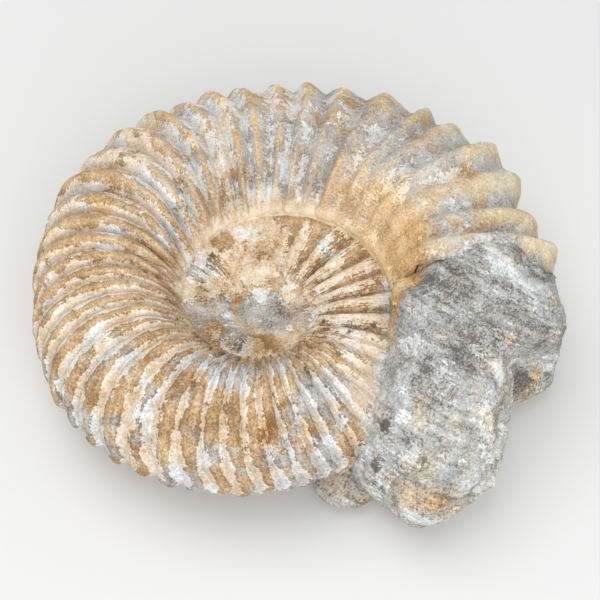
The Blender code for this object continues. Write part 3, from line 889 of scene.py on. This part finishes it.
def make_stone(name, heart, balls, detail):
    ways, faces = unit_sphere(detail)
    points = np.array(heart) + ways * stone_reaches(heart, ways, balls)[:, None]
    points = points + ways * stone_bumps(points)[:, None]
    mesh = new_mesh(name, points, faces)
    depths, crease_shades = near_creases(points)
    relief = layers(points, STONE_RELIEF) - depths
    relief += sum(height * facets(points, *shape) for height, *shape in STONE_FACETS)
    place_points(mesh, points, relief)

    along_x, along_y = STONE_STREAK_WAY
    dip = STONE_STREAK_DIP * (points[:, 2] - FILL_TOP)
    near_end = step_up(points[:, 1], *STONE_TONE_CHANGE)
    low = step_up(points[:, 2], *STONE_LOW)
    chalky = near_marks(points, CHALK_MARKS)
    toned = near_marks(points, TONE_PLACES)
    shelly = near_marks(points, SHELL_MARKS)
    covered = np.minimum(shelly, 1)
    # MARK_TONE pales the chalk marks and the shell patches. The shell patches are paler in their own colour,
    # and part of their lift is painted light against the shade of the crevice beside the coil
    tone = STONE_TONE - END_SHADE * near_end + MARK_TONE * (chalky + covered) + toned
    grey = STONE_GREY + END_GREY * near_end - LOW_RUST * low
    fields = dict.fromkeys(("pink", "cream", "calm", "tip"), np.zeros(len(points)))
    fields.update({
        "chalk": STONE_CHALK + layers(points, STONE_CHALK_NOISE) + chalky + TONED_CHALK * toned,
        "grey": grey + layers(points, STONE_GREY_NOISE),
        "stain": LOW_RUST * low + layers(points, STONE_RUST_NOISE) + near_marks(points, RUST_MARKS)
        + SHELLY_STAIN * shelly,
        "dark": near_marks(points, DARK_MARKS), "matrix": 1 - covered,
        "rib": (points[:, 0] * -along_y + points[:, 1] * along_x + dip) / STONE_STREAK[0],
        "station": (points[:, 0] * along_x + points[:, 1] * along_y) / STONE_STREAK[1],
        # Painted shade in the stone's creases and cracks
        "painted_shade": crease_shades, "streak": np.ones(len(points)), "tone": tone + layers(points, STONE_TONE_NOISE),
    })
    keep_fields(mesh, fields)
    return mesh


class Nodes:
    """Makes a material's nodes and links them."""

    def __init__(self, material):
        material.use_nodes = True
        self.tree = material.node_tree
        self.tree.nodes.clear()
        self.noises = {}

    def add(self, kind, inputs=None, **settings):
        made = self.tree.nodes.new(kind)
        for name, value in settings.items():
            setattr(made, name, value)
        for name, value in (inputs or {}).items():
            if isinstance(value, bpy.types.NodeSocket):
                self.tree.links.new(value, made.inputs[name])
            else:
                made.inputs[name].default_value = value
        return made

    def field(self, name):
        return self.add("ShaderNodeAttribute", attribute_name=name).outputs["Fac"]

    def math(self, operation, a, b=0.0, c=0.0):
        return self.add("ShaderNodeMath", {0: a, 1: b, 2: c}, operation=operation).outputs[0]

    def noise(self, place, size, detail, roughness, bend=0.0):
        """Noise round 0, mostly within a fifth of it, with a grain of this size in metres."""
        inputs = {"Vector": place, "Scale": 1 / size, "Detail": detail, "Roughness": roughness}
        made = self.add("ShaderNodeTexNoise", {**inputs, "Distortion": bend})
        return self.math("SUBTRACT", made.outputs["Fac"], 0.5)

    def with_noise(self, value, **weights):
        """The value with the named noises added, each times its weight."""
        for name, weight in weights.items():
            value = self.math("MULTIPLY_ADD", self.noises[name], weight, value)
        return value

    def scale(self, value, stops):
        """The colour at this value between the (value, colour) stops."""
        made = self.add("ShaderNodeValToRGB", {"Fac": value})
        elements = made.color_ramp.elements
        for number, (spot, colour) in enumerate(stops):
            element = elements[number] if number < 2 else elements.new(spot)
            element.position = spot
            element.color = colour
        return made.outputs["Color"]

    def ramp(self, value, name):
        low, high, to_low, to_high = RAMPS[name]
        inputs = {"Value": value, "From Min": low, "From Max": high, "To Min": to_low, "To Max": to_high}
        return self.add("ShaderNodeMapRange", inputs, interpolation_type="SMOOTHSTEP").outputs["Result"]

    def mix(self, share, first, second, blend="MIX"):
        inputs = {0: share, 6: first, 7: second}
        return self.add("ShaderNodeMix", inputs, data_type="RGBA", blend_type=blend).outputs[2]

    def surface(self, colour, roughness, others=None):
        inputs = {"Base Color": colour, "Roughness": roughness, **(others or {})}
        shader = self.add("ShaderNodeBsdfPrincipled", inputs)
        self.add("ShaderNodeOutputMaterial", {"Surface": shader.outputs[0]})


# Colours from the darkest to the palest: ochre rock with its chalky crust, and grey rock
WARM = (
    (0.0, (0.24, 0.135, 0.06, 1)), (0.2, (0.39, 0.245, 0.118, 1)), (0.4, (0.53, 0.365, 0.2, 1)),
    (0.6, (0.64, 0.51, 0.35, 1)), (0.8, (0.72, 0.625, 0.515, 1)), (1.0, (0.83, 0.77, 0.69, 1)),
)
COOL = (
    (0.0, (0.12, 0.113, 0.102, 1)), (0.2, (0.27, 0.267, 0.255, 1)), (0.4, (0.4, 0.402, 0.39, 1)),
    (0.6, (0.51, 0.525, 0.528, 1)), (0.8, (0.63, 0.66, 0.675, 1)), (1.0, (0.8, 0.845, 0.885, 1)),
)
BEIGE = ((0.0, (0.16, 0.12, 0.08, 1)), (0.5, (0.5, 0.44, 0.33, 1)), (1.0, (0.8, 0.74, 0.61, 1)))
RUST = ((0.0, (0.22, 0.095, 0.03, 1)), (0.5, (0.68, 0.43, 0.18, 1)), (1.0, (0.88, 0.72, 0.46, 1)))
PINK_TAN = (0.68, 0.535, 0.43, 1)
CREAM = (0.87, 0.77, 0.6, 1)
# Painted shade: the colour that the groove floors and the stone's creases are multiplied towards
CREASE_SHADE = (0.42, 0.34, 0.27, 1)
OLIVE = ((0.0, (0.32, 0.28, 0.18, 1)), (0.5, (0.66, 0.58, 0.39, 1)), (1.0, (0.88, 0.82, 0.66, 1)))
PIT = (0.085, 0.065, 0.05, 1)
# How many streaks of the chalk there are to a rib, and from the seam to the venter
STREAKS = (6.0, 9.0, 1.0)
# Noise in the rock: grain in metres, or in streaks for the last, then detail, roughness and bend
NOISES = {
    "broad": (0.007, 5, 0.6), "grain": (0.0017, 6, 0.7), "fine": (0.0006, 4, 0.7),
    "specks": (0.001, 3, 0.6), "veins": (0.008, 3, 0.5, 1.2),
}
STREAK_NOISE = (1.0, 4, 0.55)
# Smooth ramps: from where, to where, and what they give at either end
RAMPS = {
    "crust": (-0.08, 0.1, 0.0, 1.0), "rim": (-0.3, -0.06, 0.0, 1.0),
    "crust by streak": (0.2, 1.0, 0.22, 0.38), "bare by streak": (0.2, 1.0, 0.1, 0.0),
    "grey": (0.15, 0.75, 0.0, 0.85), "cream": (-0.25, 0.05, 0.4, 0.95), "stain": (0.1, 0.9, 0.0, 0.8),
    "tip": (-0.2, 0.2, 0.35, 0.95), "plate": (-0.02, 0.06, 0.0, 1.0), "beige": (-0.15, 0.45, 0.0, 0.7),
    "rusty": (0.15, 0.7, 0.0, 0.85), "crack": (0.0, 0.02, 1.0, 0.0), "cracked": (-0.06, 0.08, 0.0, 0.7),
    "pit": (0.42, 0.7, 0.0, 0.85), "rough": (-0.2, 0.2, 0.8, 0.95),
}
# How pale the rock is from 0 to 1, what changes it, and how far rock-filled grooves turn pinkish
BARE_PALE = 0.31
RIM_SHADE = -0.12
CALM_PALE = 0.6
CALM_SHARE = 0.6
COOL_LIFT = 0.06
CREAM_LIFT = 0.25
STONE_PALE = 0.44
PLATE_LIFT = 0.26
PINK_SHARE = 0.6
# What the crust adds to the bump, its strength, and its depth in metres
CRUST_BUMP = 0.03
BUMP_STRENGTH = 0.9
BUMP_DEPTH = 0.0009


def make_noises(nodes):
    place = nodes.add("ShaderNodeTexCoord").outputs["Object"]
    nodes.noises = {name: nodes.noise(place, *shape) for name, shape in NOISES.items()}
    along = nodes.add("ShaderNodeCombineXYZ", {"X": nodes.field("rib"), "Y": nodes.field("station")})
    stretched = nodes.add("ShaderNodeVectorMath", {0: along.outputs[0], 1: STREAKS}, operation="MULTIPLY")
    streaks = nodes.noise(stretched.outputs[0], *STREAK_NOISE)
    nodes.noises["streaks"] = nodes.math("MULTIPLY", streaks, nodes.field("streak"))
    unstreaked = nodes.math("SUBTRACT", 1.0, nodes.field("streak"))
    nodes.noises["blots"] = nodes.math("MULTIPLY", nodes.noises["broad"], unstreaked)


def shell_colour(nodes, edge, crust):
    """Ochre rock with its pale crust, greyed, stained and creamy in places."""
    rim = nodes.math("MULTIPLY", nodes.ramp(edge, "rim"), nodes.math("SUBTRACT", 1.0, crust))
    crust_lift = nodes.ramp(nodes.field("streak"), "crust by streak")
    pale = nodes.math("MULTIPLY_ADD", crust, crust_lift, BARE_PALE)
    pale = nodes.math("ADD", pale, nodes.ramp(nodes.field("streak"), "bare by streak"))
    pale = nodes.math("MULTIPLY_ADD", rim, RIM_SHADE, pale)
    pale = nodes.with_noise(pale, broad=1.0, streaks=0.6, grain=0.9)
    calm = nodes.math("MAXIMUM", nodes.field("calm"), nodes.field("pink"))
    calm = nodes.math("MULTIPLY", calm, CALM_SHARE)
    pale = nodes.math("MULTIPLY_ADD", nodes.math("SUBTRACT", CALM_PALE, pale), calm, pale)
    pale = nodes.math("ADD", nodes.with_noise(pale, fine=1.6), nodes.field("tone"))

    greyness = nodes.with_noise(nodes.field("grey"), grain=1.0, broad=0.8, fine=1.1)
    cool = nodes.scale(nodes.math("ADD", pale, COOL_LIFT), COOL)
    colour = nodes.mix(nodes.ramp(greyness, "grey"), nodes.scale(pale, WARM), cool)
    creamy = nodes.math("MULTIPLY", nodes.field("cream"), nodes.ramp(nodes.noises["grain"], "cream"))
    colour = nodes.mix(creamy, colour, CREAM)
    stained = nodes.ramp(nodes.with_noise(nodes.field("stain"), grain=1.0, broad=0.5), "stain")
    rust_pale = nodes.math("MULTIPLY_ADD", nodes.field("cream"), CREAM_LIFT, pale)
    colour = nodes.mix(stained, colour, nodes.scale(rust_pale, RUST))
    colour = nodes.mix(nodes.math("MULTIPLY", nodes.field("pink"), PINK_SHARE), colour, PINK_TAN)
    tipped = nodes.math("MULTIPLY", nodes.field("tip"), nodes.ramp(nodes.noises["broad"], "tip"))
    return nodes.mix(tipped, colour, nodes.scale(nodes.with_noise(pale, grain=0.8), OLIVE))


def stone_colour(nodes):
    """Grey rock with pale plates, beige and rusty places, and dark cracks."""
    plate = nodes.ramp(nodes.with_noise(nodes.field("chalk"), streaks=0.6, fine=0.8), "plate")
    pale = nodes.math("MULTIPLY_ADD", plate, PLATE_LIFT, STONE_PALE)
    pale = nodes.math("ADD", pale, nodes.field("tone"))
    pale = nodes.with_noise(pale, streaks=0.9, broad=0.5, grain=1.0, fine=1.9)
    beige = nodes.math("SUBTRACT", nodes.with_noise(0.0, fine=1.5, broad=3.2), nodes.field("grey"))
    colour = nodes.mix(nodes.ramp(beige, "beige"), nodes.scale(pale, COOL), nodes.scale(pale, BEIGE))
    rusty = nodes.ramp(nodes.with_noise(nodes.field("stain"), fine=2.0), "rusty")
    colour = nodes.mix(rusty, colour, nodes.scale(pale, RUST))
    cracks = nodes.ramp(nodes.math("ABSOLUTE", nodes.noises["veins"]), "crack")
    cracks = nodes.math("MULTIPLY", cracks, nodes.ramp(nodes.noises["broad"], "cracked"))
    return nodes.mix(cracks, colour, PIT)


def weathered_stone():
    """The material of shell and stone, which the field named matrix tells apart."""
    material = bpy.data.materials.new("weathered_stone")
    nodes = Nodes(material)
    make_noises(nodes)
    edge = nodes.with_noise(nodes.field("chalk"), streaks=1.6, blots=1.3, grain=1.0, fine=0.9)
    crust = nodes.ramp(edge, "crust")
    colour = nodes.mix(nodes.field("matrix"), shell_colour(nodes, edge, crust), stone_colour(nodes))
    pits = nodes.with_noise(nodes.field("dark"), specks=2.4, broad=-0.6)
    colour = nodes.mix(nodes.ramp(pits, "pit"), colour, PIT)
    # Painted shade in the groove floors and in the stone's creases and cracks
    colour = nodes.mix(nodes.field("painted_shade"), colour, CREASE_SHADE, "MULTIPLY")
    height = nodes.math("MULTIPLY_ADD", crust, CRUST_BUMP, nodes.with_noise(0.0, fine=0.5, grain=0.7))
    bumps = {"Height": height, "Strength": BUMP_STRENGTH, "Distance": BUMP_DEPTH}
    bump = nodes.add("ShaderNodeBump", bumps).outputs["Normal"]
    nodes.surface(colour, nodes.ramp(nodes.noises["grain"], "rough"), {"Normal": bump})
    return material


def add_object(name, data):
    made = bpy.data.objects.new(name, data)
    bpy.context.scene.collection.objects.link(made)
    return made


def add_piece(mesh, material):
    mesh.materials.append(material)
    piece = add_object(mesh.name, mesh)
    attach(piece, "root")
    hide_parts("ammonite")


def add_camera():
    """A camera that sees the coil's axis at AXIS_PIXEL."""
    elevation = math.radians(CAMERA_ELEVATION)
    roll = math.radians(CAMERA_ROLL)
    eye = COIL_AXIS + Vector((0, -math.cos(elevation), math.sin(elevation))) * CAMERA_DISTANCE * PIXEL
    aim_x = AXIS_PIXEL[0] - PICTURE / 2
    aim_y = PICTURE / 2 - AXIS_PIXEL[1]
    wanted_x = aim_x * math.cos(roll) + aim_y * math.sin(roll)
    wanted_y = -aim_x * math.sin(roll) + aim_y * math.cos(roll)
    azimuth = 0.0
    for _ in range(AIM_STEPS):
        level = Vector((math.sin(azimuth), math.cos(azimuth), 0)) * math.cos(elevation)
        ahead = level - Vector((0, 0, math.sin(elevation)))
        right = Vector((math.cos(azimuth), -math.sin(azimuth), 0))
        up = right.cross(ahead)
        sight = COIL_AXIS - eye
        depth = sight.dot(ahead) / CAMERA_DISTANCE
        azimuth -= (wanted_x - sight.dot(right) / depth) / CAMERA_DISTANCE / math.cos(elevation)
        elevation += (wanted_y - sight.dot(up) / depth) / CAMERA_DISTANCE
    rolled_right = right * math.cos(roll) - up * math.sin(roll)
    rolled_up = right * math.sin(roll) + up * math.cos(roll)
    data = bpy.data.cameras.new("camera")
    data.sensor_width = SENSOR_WIDTH
    data.lens = data.sensor_width * CAMERA_DISTANCE / PICTURE
    camera = add_object("camera", data)
    turned = Matrix((rolled_right, rolled_up, -ahead)).transposed().to_4x4()
    camera.matrix_world = Matrix.Translation(eye) @ turned
    bpy.context.scene.camera = camera


def add_floor():
    mesh = bpy.data.meshes.new("floor")
    bm = bmesh.new()
    bmesh.ops.create_grid(bm, x_segments=1, y_segments=1, size=FLOOR_HALF)
    bm.to_mesh(mesh)
    bm.free()
    material = bpy.data.materials.new("pale_floor")
    Nodes(material).surface(FLOOR_COLOUR, FLOOR_ROUGHNESS)
    mesh.materials.append(material)
    add_object("floor", mesh)


def add_area_light(name, place, size, power, colour):
    data = bpy.data.lights.new(name, "AREA")
    data.shape = "DISK"
    data.size = size
    data.energy = power
    data.color = colour
    light = add_object(name, data)
    light.location = place
    light.rotation_euler = (COIL_AXIS - Vector(place)).to_track_quat("-Z", "Y").to_euler()


def add_light():
    world = bpy.data.worlds.new("studio")
    world.use_nodes = True
    background = world.node_tree.nodes["Background"]
    background.inputs["Color"].default_value = SKY_COLOUR
    background.inputs["Strength"].default_value = SKY_STRENGTH
    bpy.context.scene.world = world
    for name, lamp in LAMPS.items():
        add_area_light(name, *lamp)
    bpy.context.scene.view_settings.view_transform = "Standard"


stone_material = weathered_stone()
add_piece(make_shell(), stone_material)
for stone_name, stone_shape in STONES.items():
    add_piece(make_stone(stone_name, *stone_shape), stone_material)
add_camera()
add_floor()
add_light()
